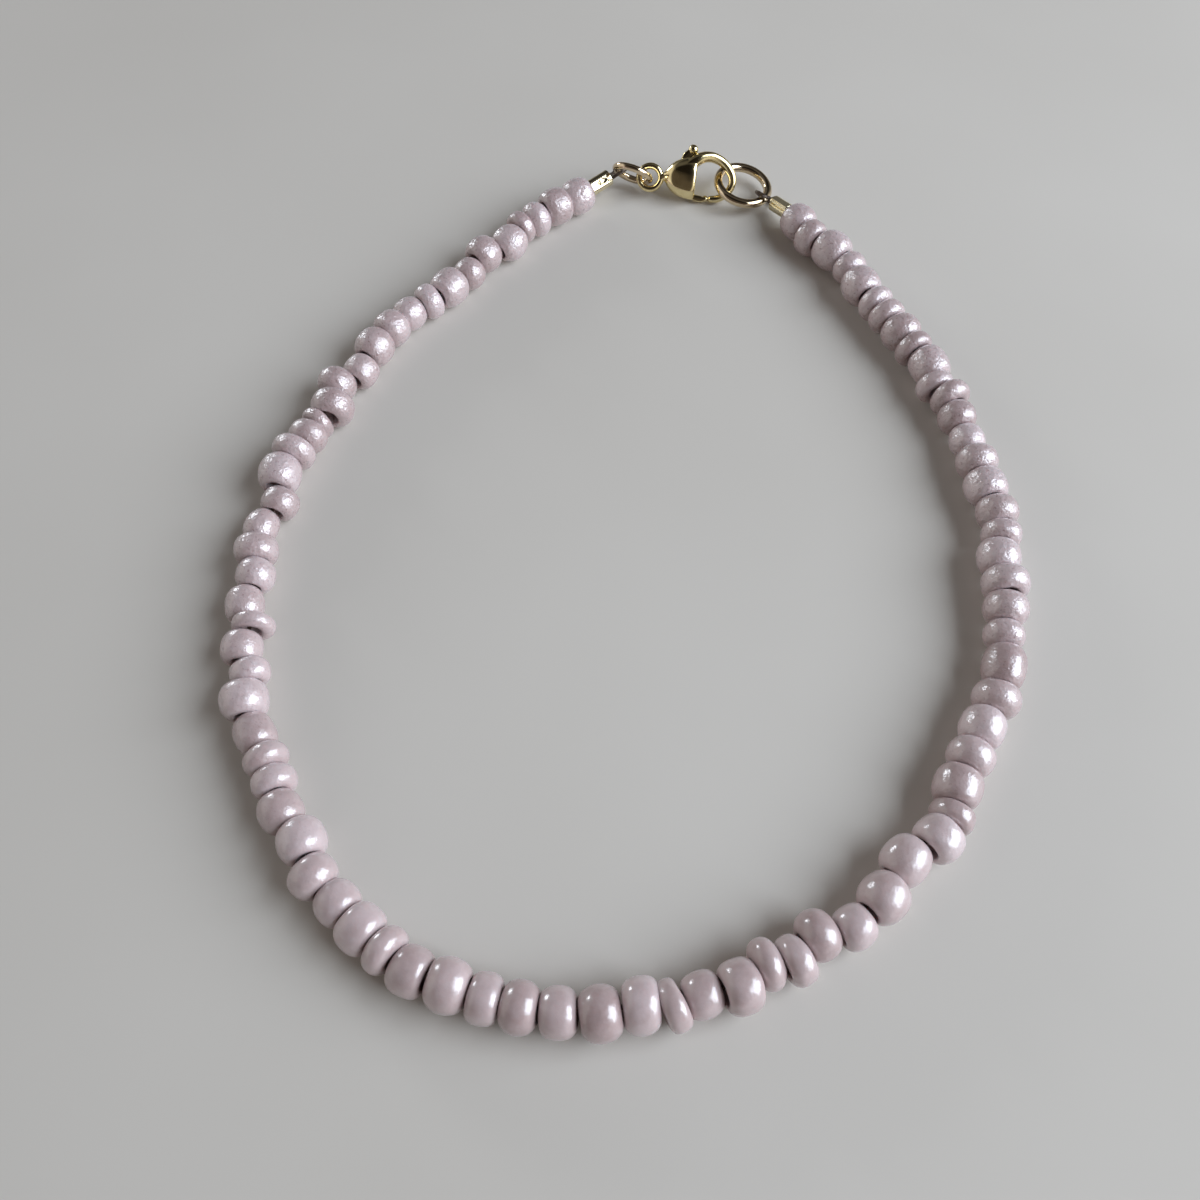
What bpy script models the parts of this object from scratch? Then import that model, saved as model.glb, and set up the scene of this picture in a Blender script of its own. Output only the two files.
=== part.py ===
"""Seed bead bracelet, closed and lying on a table.

A strand of glass seed beads on beading wire ends in two crimp tubes. At one crimp the wire loops round a
small jump ring, which hangs in the eye of a trigger clasp. At the other crimp it loops round a large ring,
which the clasp's hook holds. The table is z = 0, and the origin is under the middle of the bracelet.
"""
import math

import bmesh
import bpy
from mathutils import Matrix, Vector

mm = 0.001

# Strand of beads: a tube as wide as a bead, lying on the table
BEAD_D = 2.95 * mm
TUBE_STEP = 2.0  # bead diameters between the tube's points
STRAND_ROUTE = [(-3.0, 30.8), (-9.5, 24.6), (-14.9, 18.2), (-19.5, 11.4), (-22.4, 4.9), (-24.0, -2.5),
                (-23.9, -10.1), (-22.3, -17.0), (-18.7, -23.9), (-13.3, -29.6), (-6.0, -32.5),
                (1.7, -32.4), (8.3, -30.1), (14.9, -25.4), (19.7, -18.8), (23.1, -11.0), (24.2, -3.3),
                (23.6, 4.6), (21.7, 11.6), (18.8, 18.1), (16.4, 22.7), (13.4, 27.9)]  # mm, clasp end to ring end

# Crimp tubes
CRIMP_LENGTH = 2.1 * mm
CRIMP_GAP = 0.2 * mm  # end bead to crimp
CLASP_CRIMP_WIDTH = 1.30 * mm
CLASP_CRIMP_THICK = 1.02 * mm
CLASP_CRIMP_DENT = 0.20 * mm
# Along the crimp, and the depth of its pressed face there, as shares of the length and of the full depth
CLASP_CRIMP_ROWS = [(0, 0), (0.12, 0), (0.3, 0.7), (0.5, 1), (0.7, 0.7), (0.88, 0), (1, 0)]
RING_CRIMP_WIDTH = 1.16 * mm
RING_CRIMP_THICK = 1.06 * mm
RING_CRIMP_GROOVE = 0.18 * mm
RING_CRIMP_ROWS = [(0, 1), (0.5, 1), (1, 1)]
CRIMP_BORE_ROOM = 0.07 * mm  # wire to bore
CRIMP_SQUARENESS = 3.5  # exponent of the bore's section
RING_CRIMP_DROP = math.radians(13)  # the ring end dips towards the table

# Wire loops
WIRE_D = 0.30 * mm
WIRE_TAIL = 0.6 * mm  # how far each leg goes into its crimp
LEG_GAP = 0.06 * mm  # between a loop's two legs
LEG_STRAIGHT = 0.15 * mm  # how far a leg runs straight out of its crimp
LINK_GAP = 0.08 * mm  # between links that hang in each other
LOOP_ARC = math.radians(116)  # each way from the loop's far side
# Where a loop holds its ring, turned along the ring from the crimp's nearest point, and the loop's slant
JUMP_LOOP_SEAT = (math.radians(20), math.radians(-32))
RING_LOOP_SEAT = (math.radians(8), math.radians(-40))

# Clasp: origin at the body's narrow end, +X towards the hook, +Y towards the trigger, +Z up off its face
CLASP_AT = (3.2 * mm, 32.15 * mm, 1.82 * mm)
CLASP_TILT = math.radians(52)
BODY_LENGTH = 2.7 * mm
BODY_HEIGHT = 3.35 * mm
BODY_THICK = 2.3 * mm
BODY_SQUARENESS = 2.4  # exponent of the sections: 2 is an ellipse
RIM_LEAN = 0.10
# Along, middle, half height and half thickness, as shares of the length, height, height and thickness
BODY_SECTIONS = [(-0.08, -0.010, 0.060, 0.10), (0.04, -0.015, 0.105, 0.15), (0.15, -0.038, 0.224, 0.26),
                 (0.30, -0.042, 0.345, 0.37), (0.50, -0.045, 0.433, 0.45), (0.75, -0.048, 0.495, 0.50),
                 (0.97, -0.055, 0.512, 0.47), (1.00, -0.055, 0.490, 0.43)]
EYE_WIRE = 0.52 * mm
EYE_RADIUS = 0.89 * mm  # to the middle of its wire
EYE_REACH = 0.17 * mm  # eye's wire to the body's origin
EYE_DROP = 0.08 * mm
HOOK_REACH = 3.05 * mm  # rim to the middle of the hook's bow
HOOK_ROOT = 1.10 * mm
HOOK_WIRE = 0.66 * mm
HOOK_TIP = 0.56 * mm
# The hook's middle line: beyond the rim as a share of its reach, and up as a share of the body's height
HOOK_ROUTE = [(-0.20, 0.22), (0.0, 0.345), (0.20, 0.42), (0.44, 0.42), (0.68, 0.33), (0.87, 0.18),
              (0.98, 0.0), (1.0, -0.18), (0.90, -0.36), (0.74, -0.48), (0.56, -0.535), (0.43, -0.54)]

# Lever: turns about its pin in a slot of the body, from closed to pulled back
LEVER_THICK = 0.46 * mm
LEVER_GAP = 0.10 * mm  # lever to the walls of its slot
LEVER_OPEN = math.radians(26)
SLOT_TURN = math.radians(28)  # how far the slot lets the lever turn
SLOT_LEAN = 0.06  # of the slot's front wall
SLOT_HEIGHT = 1.3  # above and below the pin, a share of the body's height: past the body's skin
PIVOT = (0.79, -0.375)  # shares of the body's length and height
STEM_FOOT = (0.74, 0.36)
STEM_TOP = (0.88, 0.56)
GATE_BEND = (0.945, -0.494)
GATE_FLAT = (1.185, -0.536)
GATE_TIP_HEIGHT = -0.528
GATE_GAP = 0.22 * mm  # gate's end to the hook's tip
ARM_WIDTH = 0.50 * mm
HUB_WIDTH = 0.60 * mm
GATE_WIDTH = 0.46 * mm
GATE_TIP_WIDTH = 0.37 * mm
STEM_WIDTH = 0.40 * mm
KNOB_D = 0.80 * mm
KNOB_RISE = 0.28 * mm  # stem's end to the knob's middle
LEVER_EDGE = 0.05 * mm
SLOT_PAST_RIM = 0.2 * mm
PIN_D = 0.34 * mm
PIN_GAP = 0.04 * mm
PIN_SEAT = 0.22 * mm  # how far the pin goes into each cheek

# Rings
JUMP_RING_WIRE = 0.56 * mm
JUMP_RING_RADIUS = 1.47 * mm
JUMP_RING_SLANT = math.radians(19)
JUMP_RING_TURN = math.radians(75)
JUMP_RING_IN_EYE = (-0.05, -0.22)  # from the eye's middle, shares of the eye's radius
END_RING_WIRE = 0.72 * mm
END_RING_RADIUS = 2.12 * mm
END_RING_SLANT = math.radians(13)
END_RING_LEAN = math.radians(50)  # from the clasp's plane, so its wire clears the hook above and below
END_RING_SEAT = (0.62, -0.075)  # in the hook's mouth, shares of its reach and of the body's height
END_RING_SINK = 0.10 * mm

RING_SIDES = 16
LOOP_KNOTS = 9
WIRE_SIDES = 6
SECTION_SIDES = 20


def clear_scene():
    for thing in list(bpy.data.objects):
        bpy.data.objects.remove(thing, do_unlink=True)


def material(name, colour, roughness, metallic):
    finish = bpy.data.materials.new(name)
    finish.use_nodes = True
    shader = finish.node_tree.nodes["Principled BSDF"]
    shader.inputs["Base Color"].default_value = (*colour, 1.0)
    shader.inputs["Roughness"].default_value = roughness
    shader.inputs["Metallic"].default_value = metallic
    return finish


def gold(name):
    return material(name, (0.83, 0.62, 0.30), 0.18, 1.0)


def place(name, data, finish=None, parent=None):
    """Put a mesh or curve into the scene as the object of that name."""
    piece = bpy.data.objects.new(name, data)
    bpy.context.scene.collection.objects.link(piece)
    piece.parent = parent
    if finish is None:
        piece.hide_render = True
        piece.display_type = "WIRE"
    else:
        data.materials.append(finish)
    return piece


def finished_mesh(name, bm):
    bmesh.ops.recalc_face_normals(bm, faces=bm.faces)
    mesh = bpy.data.meshes.new(name)
    bm.to_mesh(mesh)
    bm.free()
    mesh.shade_smooth()
    mesh.set_sharp_from_angle(angle=math.radians(40))
    return mesh


def loft(name, sections):
    """A closed solid through rings of points that all have the same count."""
    bm = bmesh.new()
    rings = [[bm.verts.new(point) for point in section] for section in sections]
    count = len(rings[0])
    for ring, following in zip(rings, rings[1:]):
        for i in range(count):
            j = (i + 1) % count
            bm.faces.new((ring[i], ring[j], following[j], following[i]))
    bm.faces.new(rings[0])
    bm.faces.new(rings[-1])
    return finished_mesh(name, bm)


def prism(name, outline, thickness):
    """A flat plate of that outline, centred on its own XY plane."""
    bm = bmesh.new()
    face = bm.faces.new([bm.verts.new((x, y, -thickness / 2)) for x, y in outline])
    grown = bmesh.ops.extrude_face_region(bm, geom=[face])["geom"]
    raised = [item for item in grown if isinstance(item, bmesh.types.BMVert)]
    bmesh.ops.translate(bm, verts=raised, vec=(0, 0, thickness))
    return finished_mesh(name, bm)


def rod(name, diameter, length, sides):
    bm = bmesh.new()
    bmesh.ops.create_cone(bm, cap_ends=True, segments=sides, radius1=diameter / 2, radius2=diameter / 2,
                          depth=length)
    return finished_mesh(name, bm)


def ring(name, radius, wire):
    """A closed ring of round wire round the Z axis."""
    bm = bmesh.new()
    bmesh.ops.create_circle(bm, segments=WIRE_SIDES, radius=wire / 2)
    bmesh.ops.rotate(bm, verts=bm.verts, cent=(0, 0, 0), matrix=Matrix.Rotation(math.pi / 2, 3, "X"))
    bmesh.ops.translate(bm, verts=bm.verts, vec=(radius, 0, 0))
    bmesh.ops.spin(bm, geom=bm.verts[:] + bm.edges[:], cent=(0, 0, 0), axis=(0, 0, 1), angle=2 * math.pi,
                   steps=RING_SIDES, use_merge=True)
    return finished_mesh(name, bm)


def tube(name, points, diameter, resolution, turn=0.0):
    """A wire or strand: a curve along the points, with filled ends."""
    curve = bpy.data.curves.new(name, "CURVE")
    curve.dimensions = "3D"
    curve.bevel_depth = diameter / 2
    curve.bevel_resolution = resolution
    curve.use_fill_caps = True
    spline = curve.splines.new("POLY")
    spline.points.add(len(points) - 1)
    for knot, point in zip(spline.points, points):
        knot.co = (*point, 1.0)
        knot.tilt = turn
    return curve


def smooth(knots, per_span):
    """Points on a smooth curve through all the knots."""
    ends = [2 * knots[0] - knots[1]] + knots + [2 * knots[-1] - knots[-2]]
    points = []
    for before, start, end, after in zip(ends, ends[1:], ends[2:], ends[3:]):
        for k in range(per_span):
            t = k / per_span
            points.append(0.5 * (2 * start + (end - before) * t
                                 + (2 * before - 5 * start + 4 * end - after) * t ** 2
                                 + (3 * start - before - 3 * end + after) * t ** 3))
    points.append(knots[-1])
    return points


def spaced(points, step):
    """Points along a line at even distances, as near to the step as its length allows."""
    reach = [0.0]
    for start, end in zip(points, points[1:]):
        reach.append(reach[-1] + (end - start).length)
    count = max(2, round(reach[-1] / step))
    result = []
    at = 0
    for k in range(count + 1):
        target = reach[-1] * k / count
        while at < len(points) - 2 and reach[at + 1] < target:
            at += 1
        share = (target - reach[at]) / (reach[at + 1] - reach[at])
        result.append(points[at].lerp(points[at + 1], share))
    return result


def squared(wave, exponent):
    """A sine or cosine that draws a superellipse of that exponent."""
    return math.copysign(abs(wave) ** (2 / exponent), wave)


def flatten(vector, axis):
    """The direction of a vector without its share along an axis."""
    return (vector - axis * vector.dot(axis)).normalized()


def body_share(share):
    """A point of the clasp given as shares of the body's length and height."""
    return Vector((share[0] * BODY_LENGTH, share[1] * BODY_HEIGHT))


def bead_strand():
    height = BEAD_D / 2
    knots = [Vector((x * mm, y * mm, height)) for x, y in STRAND_ROUTE]
    points = spaced(smooth(knots, 16), TUBE_STEP * BEAD_D)
    # Eight sides with a flat one underneath, as far from the middle as a bead's surface
    eighth = math.pi / 8
    place("bead_strand", tube("bead_strand", points, BEAD_D / math.cos(eighth), 2, turn=eighth),
          material("pearly_glass", (0.50, 0.38, 0.37), 0.35, 0.0))
    return points


def crimp(name, start, along, face, width, thick, pressed, rows):
    """A crimp tube from its bead end, with its pressed face turned one way, and its mouth."""
    across = face.cross(along).normalized()
    face = along.cross(across)
    sections = []
    for share, depth in rows:
        middle = start + along * (share * CRIMP_LENGTH)
        section = []
        for k in range(16):
            angle = k * math.pi / 8
            lift = thick / 2 * math.sin(angle)
            near_top = max(0.0, math.sin(angle) - 0.9) / 0.1
            lift -= pressed * depth * near_top
            section.append(middle + across * (width / 2 * math.cos(angle)) + face * lift)
        sections.append(section)
    tube_piece = place(name, loft(name, sections), gold(name + "_gold"))
    bore_width = WIRE_D + LEG_GAP / 2 + CRIMP_BORE_ROOM
    bore_thick = WIRE_D / 2 + CRIMP_BORE_ROOM
    bore = []
    for share in (-0.2, 1.2):
        middle = start + along * (share * CRIMP_LENGTH)
        bore.append([middle + across * (bore_width * squared(math.cos(k * math.pi / 6), CRIMP_SQUARENESS))
                     + face * (bore_thick * squared(math.sin(k * math.pi / 6), CRIMP_SQUARENESS))
                     for k in range(12)])
    cut(tube_piece, place(name + "_bore", loft(name + "_bore", bore)), "DIFFERENCE")
    return start + along * CRIMP_LENGTH, across


def cut(piece, other, operation):
    change = piece.modifiers.new(other.name, "BOOLEAN")
    change.operation = operation
    change.solver = "EXACT"
    change.object = other


def wire_loop(name, mouth, along, across, held_ring, wire, seat):
    """The beading wire's loop from a crimp's mouth round a ring: two legs and a round bend."""
    centre, axis, radius = held_ring
    turn, slant = seat
    outward = Matrix.Rotation(turn, 3, axis) @ flatten(mouth - centre, axis)
    held = centre + outward * radius
    passing = axis.cross(outward).normalized()
    ahead = (held - mouth).normalized()
    normal = Matrix.Rotation(slant, 3, ahead) @ flatten(passing, ahead)
    side = normal.cross(ahead)
    if side.dot(across) < 0:
        side = -side
    bend = (wire / 2 + LINK_GAP + WIRE_D / 2) / abs(normal.dot(passing))
    leg = across * (WIRE_D + LEG_GAP) / 2
    legs = []
    for offset in (leg, -leg):
        legs.append([mouth + along * way + offset for way in (-WIRE_TAIL, -WIRE_TAIL / 6, LEG_STRAIGHT)])
    knots = legs[0]
    for k in range(LOOP_KNOTS):
        angle = LOOP_ARC * (1 - 2 * k / (LOOP_KNOTS - 1))
        knots.append(held + (ahead * math.cos(angle) + side * math.sin(angle)) * bend)
    knots += legs[1][::-1]
    steel = material(name + "_steel", (0.30, 0.27, 0.24), 0.3, 1.0)
    place(name, tube(name, smooth(knots, 3), WIRE_D, 1), steel)


def clasp_body(frame):
    sections = []
    for along, middle, half_height, half_thick in BODY_SECTIONS:
        section = []
        for k in range(SECTION_SIDES):
            angle = 2 * math.pi * k / SECTION_SIDES
            up = squared(math.cos(angle), BODY_SQUARENESS)
            out = squared(math.sin(angle), BODY_SQUARENESS)
            y = (middle + half_height * up) * BODY_HEIGHT
            x = along * BODY_LENGTH + RIM_LEAN * y * max(0.0, along) ** 2
            section.append(Vector((x, y, half_thick * out * BODY_THICK)))
        sections.append(section)
    body = place("clasp_body", loft("clasp_body", sections), gold("clasp_gold"), frame)

    route = smooth([Vector((BODY_LENGTH + s * HOOK_REACH, h * BODY_HEIGHT, 0)) for s, h in HOOK_ROUTE], 2)
    sections = []
    for i, point in enumerate(route):
        share = i / (len(route) - 1)
        half = (HOOK_ROOT * (1 - share) ** 3 + HOOK_WIRE * (1 - (1 - share) ** 3)) / 2
        half += (HOOK_TIP - HOOK_WIRE) / 2 * share ** 3
        heading = (route[min(i + 1, len(route) - 1)] - route[max(i - 1, 0)]).normalized()
        beside = Vector((-heading.y, heading.x, 0))
        sections.append([point + beside * (half * math.cos(k * math.pi / 5))
                         + Vector((0, 0, half * math.sin(k * math.pi / 5))) for k in range(10)])
    hook = place("hook_form", loft("hook_form", sections), None, frame)

    eye = place("eye_form", ring("eye_form", EYE_RADIUS, EYE_WIRE), None, frame)
    eye.location = eye_middle()
    cut(body, hook, "UNION")
    cut(body, eye, "UNION")
    for slot in lever_slots(frame):
        cut(body, slot, "DIFFERENCE")
    bore_mesh = rod("pin_bore", PIN_D + 2 * PIN_GAP, pin_length() + 2 * PIN_GAP, 12)
    bore = place("pin_bore", bore_mesh, None, frame)
    bore.location = body_share(PIVOT).to_3d()
    cut(body, bore, "DIFFERENCE")


def eye_middle():
    return Vector((-EYE_RADIUS - EYE_REACH, BODY_SECTIONS[0][1] * BODY_HEIGHT - EYE_DROP, 0))


def pin_length():
    return LEVER_THICK + 2 * LEVER_GAP + 2 * PIN_SEAT


def lever_route():
    """The lever's middle line from the trigger's top past the pin to the gate's end, from the pin."""
    tip = Vector((BODY_LENGTH + HOOK_ROUTE[-1][0] * HOOK_REACH - GATE_GAP, GATE_TIP_HEIGHT * BODY_HEIGHT))
    pivot = body_share(PIVOT)
    upper = [body_share(STEM_TOP), body_share(STEM_FOOT), pivot]
    lower = [body_share(GATE_BEND), body_share(GATE_FLAT), tip]
    return [point - pivot for point in upper + lower]


def lever_slots(frame):
    """Two wedges that take in the lever's two arms from closed to open, with room beside them."""
    turn = Matrix.Rotation(SLOT_TURN, 2)
    room = HUB_WIDTH / 2 + LEVER_GAP
    tall = BODY_HEIGHT * SLOT_HEIGHT
    front = room + (tall - room) * SLOT_LEAN
    stem_room = [Vector((room, -room)), Vector((front, tall)), turn @ Vector((-room, tall)),
                 turn @ Vector((-room, -room))]
    bend = lever_route()[3]
    wide = BODY_LENGTH * (1 - PIVOT[0]) + SLOT_PAST_RIM
    gate_high = turn @ Vector((wide, bend.y / bend.x * wide + GATE_WIDTH / 2 + LEVER_GAP))
    gate_room = [Vector((-room, -room)), Vector((0, -tall)), Vector((wide, -tall)),
                 Vector((wide, max(room, gate_high.y))), Vector((0, room))]
    slots = []
    for name, outline in (("stem_slot", stem_room), ("gate_slot", gate_room)):
        slot = place(name, prism(name, outline, LEVER_THICK + 2 * LEVER_GAP), None, frame)
        slot.location = body_share(PIVOT).to_3d()
        slots.append(slot)
    return slots


def clasp_lever(frame):
    points = lever_route()
    widths = [STEM_WIDTH, ARM_WIDTH, HUB_WIDTH, GATE_WIDTH, GATE_WIDTH, GATE_TIP_WIDTH]
    left, right = [], []
    for i, (point, width) in enumerate(zip(points, widths)):
        before = (point - points[i - 1]).normalized() if i else (points[1] - point).normalized()
        after = (points[i + 1] - point).normalized() if i + 1 < len(points) else before
        heading = (before + after).normalized()
        reach = width / 2 / max(0.5, heading.dot(after))
        beside = Vector((-heading.y, heading.x)) * reach
        left.append(point + beside)
        right.append(point - beside)
    plate = prism("clasp_lever", left + right[::-1], LEVER_THICK)
    lever = place("clasp_lever", plate, gold("lever_gold"), frame)
    lever.location = body_share(PIVOT).to_3d()
    edges = lever.modifiers.new("edges", "BEVEL")
    edges.width = LEVER_EDGE
    edges.segments = 1
    bm = bmesh.new()
    bmesh.ops.create_uvsphere(bm, u_segments=12, v_segments=8, radius=KNOB_D / 2)
    knob = place("knob_form", finished_mesh("knob_form", bm), None, lever)
    knob.location = (points[0] + (points[0] - points[1]).normalized() * KNOB_RISE).to_3d()
    hole = place("lever_hole", rod("lever_hole", PIN_D + 2 * PIN_GAP, LEVER_THICK * 2, 12), None, lever)
    cut(lever, knob, "UNION")
    cut(lever, hole, "DIFFERENCE")
    pin = place("lever_pin", rod("lever_pin", PIN_D, pin_length(), 12), gold("pin_gold"), frame)
    pin.location = body_share(PIVOT).to_3d()


def linked_ring(name, frame, radius, wire, held, direction, turn):
    """A ring with one point of its wire at a place in the clasp, the rest lying off one way."""
    piece = place(name, ring(name, radius, wire), gold(name + "_gold"), frame)
    spin = Matrix.Rotation(turn, 3, direction)
    piece.rotation_euler = spin.to_euler()
    piece.location = held + direction * radius
    bpy.context.view_layer.update()
    axis = (piece.matrix_world.to_3x3() @ Vector((0, 0, 1))).normalized()
    return piece.matrix_world.translation.copy(), axis, radius


clear_scene()

strand = bead_strand()
clasp = bpy.data.objects.new("clasp_frame", None)
bpy.context.scene.collection.objects.link(clasp)
clasp.location = CLASP_AT
clasp.rotation_euler = (CLASP_TILT, 0, 0)
bpy.context.view_layer.update()
clasp_body(clasp)
clasp_lever(clasp)

# The jump ring hangs in the eye and slants up towards the crimp
slant = Vector((-math.cos(JUMP_RING_SLANT), math.sin(JUMP_RING_SLANT), 0))
in_eye = eye_middle() + Vector((*JUMP_RING_IN_EYE, 0)) * EYE_RADIUS
jump_ring = linked_ring("jump_ring", clasp, JUMP_RING_RADIUS, JUMP_RING_WIRE, in_eye, slant, -JUMP_RING_TURN)

# The end ring leans so that its wire passes under the hook's bow and over its tip
slant = Vector((math.cos(END_RING_SLANT), -math.sin(END_RING_SLANT), 0))
seat = Vector((BODY_LENGTH + END_RING_SEAT[0] * HOOK_REACH, END_RING_SEAT[1] * BODY_HEIGHT, -END_RING_SINK))
end_ring = linked_ring("end_ring", clasp, END_RING_RADIUS, END_RING_WIRE, seat, slant, -END_RING_LEAN)

# Crimps carry on in line with the strand's ends
clasp_face = clasp.matrix_world.to_3x3() @ Vector((0, 0, 1))
clasp_end = (strand[0] - strand[1]).normalized()
mouth, across = crimp("crimp_clasp_end", strand[0] + clasp_end * CRIMP_GAP, clasp_end, clasp_face,
                      CLASP_CRIMP_WIDTH, CLASP_CRIMP_THICK, CLASP_CRIMP_DENT,
                      CLASP_CRIMP_ROWS)
wire_loop("wire_loop_clasp_end", mouth, clasp_end, across, jump_ring, JUMP_RING_WIRE, JUMP_LOOP_SEAT)

ring_end = (strand[-1] - strand[-2]).normalized()
dip = ring_end * math.cos(RING_CRIMP_DROP) - Vector((0, 0, math.sin(RING_CRIMP_DROP)))
mouth, across = crimp("crimp_ring_end", strand[-1] + ring_end * CRIMP_GAP, dip, dip.cross(end_ring[1]),
                      RING_CRIMP_WIDTH, RING_CRIMP_THICK, RING_CRIMP_GROOVE, RING_CRIMP_ROWS)
wire_loop("wire_loop_ring_end", mouth, dip, across, end_ring, END_RING_WIRE, RING_LOOP_SEAT)
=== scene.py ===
"""Seed bead bracelet with a gold-filled trigger clasp, lying closed on a pale table."""

import math

import bmesh
import bpy
import numpy as np
from mathutils import Matrix, Vector


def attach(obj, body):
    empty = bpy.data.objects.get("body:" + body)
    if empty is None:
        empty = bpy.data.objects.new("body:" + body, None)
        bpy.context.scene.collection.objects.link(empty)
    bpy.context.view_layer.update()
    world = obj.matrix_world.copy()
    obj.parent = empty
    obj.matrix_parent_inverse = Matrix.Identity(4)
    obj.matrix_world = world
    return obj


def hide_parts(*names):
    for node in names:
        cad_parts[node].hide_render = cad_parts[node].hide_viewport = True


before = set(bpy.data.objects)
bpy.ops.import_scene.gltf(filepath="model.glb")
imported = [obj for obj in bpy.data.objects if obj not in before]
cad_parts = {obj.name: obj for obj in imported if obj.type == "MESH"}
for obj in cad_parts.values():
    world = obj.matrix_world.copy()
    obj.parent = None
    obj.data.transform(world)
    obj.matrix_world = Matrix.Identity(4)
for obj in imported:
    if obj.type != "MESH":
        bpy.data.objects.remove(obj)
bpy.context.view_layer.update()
mm = 0.001

# Camera: held by hand above the near side of the bracelet, looking down over it towards the clasp.
# It stands 58.8 mm above the table and 42.1 mm before the bracelet's middle.
VIEW_FROM = Vector((-2.0, -42.1, 58.8)) * mm
VIEW_DOWN = math.radians(59.5)
LENS = 31.5

camera = bpy.data.objects.new("camera", bpy.data.cameras.new("camera"))
bpy.context.scene.collection.objects.link(camera)
camera.location = VIEW_FROM
camera.rotation_euler = (math.pi / 2 - VIEW_DOWN, 0, 0)
camera.data.lens = LENS
camera.data.sensor_width = 36
camera.data.clip_start = 1 * mm
camera.data.clip_end = 10
bpy.context.scene.camera = camera

# Seed beads: small rounded rings of opaque pressed glass in a dusty mauve pink, with a pearly lustre.
# They are strung by hand, so thin, fat and small ones follow each other and sit a little off the line.
# Each lies on the table, and its hole is wide enough to ride up or down on the wire.
# The string's line on the table in mm, from the clasp end to the ring end
STRAND_ROUTE = [(-3.0, 30.8), (-9.5, 24.6), (-14.9, 18.2), (-19.5, 11.4), (-22.4, 4.9), (-24.0, -2.5),
                (-23.9, -10.1), (-22.3, -17.0), (-18.7, -23.9), (-13.3, -29.6), (-6.0, -32.5),
                (1.7, -32.4), (8.3, -30.1), (14.9, -25.4), (19.7, -18.8), (23.1, -11.0), (24.2, -3.3),
                (23.6, 4.6), (21.7, 11.6), (18.8, 18.1), (16.4, 22.7), (13.4, 27.9)]
# The beads in order. Letter: length, from thin to long. Digit: width, from small to wide.
# Sign: how far it sits off the line, from ( well outside the loop, through | on it, to ) well inside.
BEADS = """
f6| f7< d5< b4( g5> f6< e3> g6> c5| e3( e5( g6< e3> e6(
e8) a3| d5| c8< g7( d3> f1( d6< e4| f3( a5> e4( c3| f7(
f3< c5| c4| f4< f6| e6( e4< e6< c6< e5( f7< d5< e6< e5<
f7< e7| b6< e3| e7< c6> c6< e6> e3( g6< g5> e6( b4( f6|
e6| f5| e7< h5< d4| e6| d8| f6> c4< e6< f6| e6| e3| e5|
c7< b5> g6< b6| f7| c6| c6| g7| d5( g8< d6> f6|
"""
BEAD_LENGTHS = {"a": 1.0, "b": 1.25, "c": 1.5, "d": 1.75, "e": 2.0, "f": 2.25, "g": 2.5, "h": 2.75}  # mm
BEAD_WIDTH_FROM = 2.14  # mm, at digit 0
BEAD_WIDTH_STEP = 0.116  # mm more for each digit
BEAD_OFFSETS = {"(": -0.45, "<": -0.25, "|": 0.0, ">": 0.25, ")": 0.45}  # mm
MEAN_BEAD_D = 2.95 * mm
BEAD_LUMP = 0.2 * mm
BEAD_LUMP_SCALE = 520.0
BEAD_TILT = math.radians(5)
BEAD_SEED = 4
BEAD_HOLE = 0.17  # share of the width
BEAD_HOLE_FULL = 2.6  # 2 is a round edge
BEAD_AROUND = 44
BEAD_OUTSIDE = 18  # faces from end to end over the crown
BEAD_INSIDE = 7  # and back through the hole
# Touching radius (share of the width), then how full the shoulders and the crown are (2 is round)
BEAD_FORMS = [(0.25, 2.2, 2.05), (0.27, 2.45, 2.1), (0.22, 2.05, 2.0), (0.30, 2.6, 2.3)]
THIN_FORM = 3
# Caught slantwise between their neighbours, counted from the clasp end
ASKEW_BEADS = {20: math.radians(-12), 25: math.radians(-7), 45: math.radians(13)}
# Along Y in mm: beads before the first place are smooth-skinned, and those past the second fully pitted
PITTING_SPAN = (-30.0, -2.0)
ROUTE_STEPS = 24  # points on each span of the string's line


def smooth(knots, per_span):
    """Points on a smooth curve through all the knots."""
    ends = [2 * knots[0] - knots[1]] + knots + [2 * knots[-1] - knots[-2]]
    points = []
    for before, start, end, after in zip(ends, ends[1:], ends[2:], ends[3:]):
        for k in range(per_span):
            t = k / per_span
            points.append(0.5 * (2 * start + (end - before) * t
                                 + (2 * before - 5 * start + 4 * end - after) * t ** 2
                                 + (3 * start - before - 3 * end + after) * t ** 3))
    points.append(knots[-1])
    return points


def along_line(points, distances):
    """The point and heading at each distance along a line of points."""
    reach = np.cumsum([0.0] + [(b - a).length for a, b in zip(points, points[1:])])
    found = []
    for distance in distances:
        at = int(np.clip(np.searchsorted(reach, distance) - 1, 0, len(points) - 2))
        share = (distance - reach[at]) / (reach[at + 1] - reach[at])
        heading = (points[at + 1] - points[at]).normalized()
        found.append((points[at].lerp(points[at + 1], share), heading))
    return found, reach[-1]


def mesh_of(name, points, faces):
    """A smooth-shaded mesh from lists of points and faces."""
    mesh = bpy.data.meshes.new(name)
    mesh.from_pydata([tuple(p) for p in points], [], faces)
    mesh.validate()
    mesh.shade_smooth()
    return mesh


def outward(mesh):
    """Turns every face of a closed mesh outwards."""
    bm = bmesh.new()
    bm.from_mesh(mesh)
    bmesh.ops.recalc_face_normals(bm, faces=bm.faces)
    bm.to_mesh(mesh)
    bm.free()
    return mesh


def piece_of(name, mesh):
    """A new object with this mesh, at the origin."""
    piece = bpy.data.objects.new(name, mesh)
    bpy.context.scene.collection.objects.link(piece)
    return piece


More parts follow.
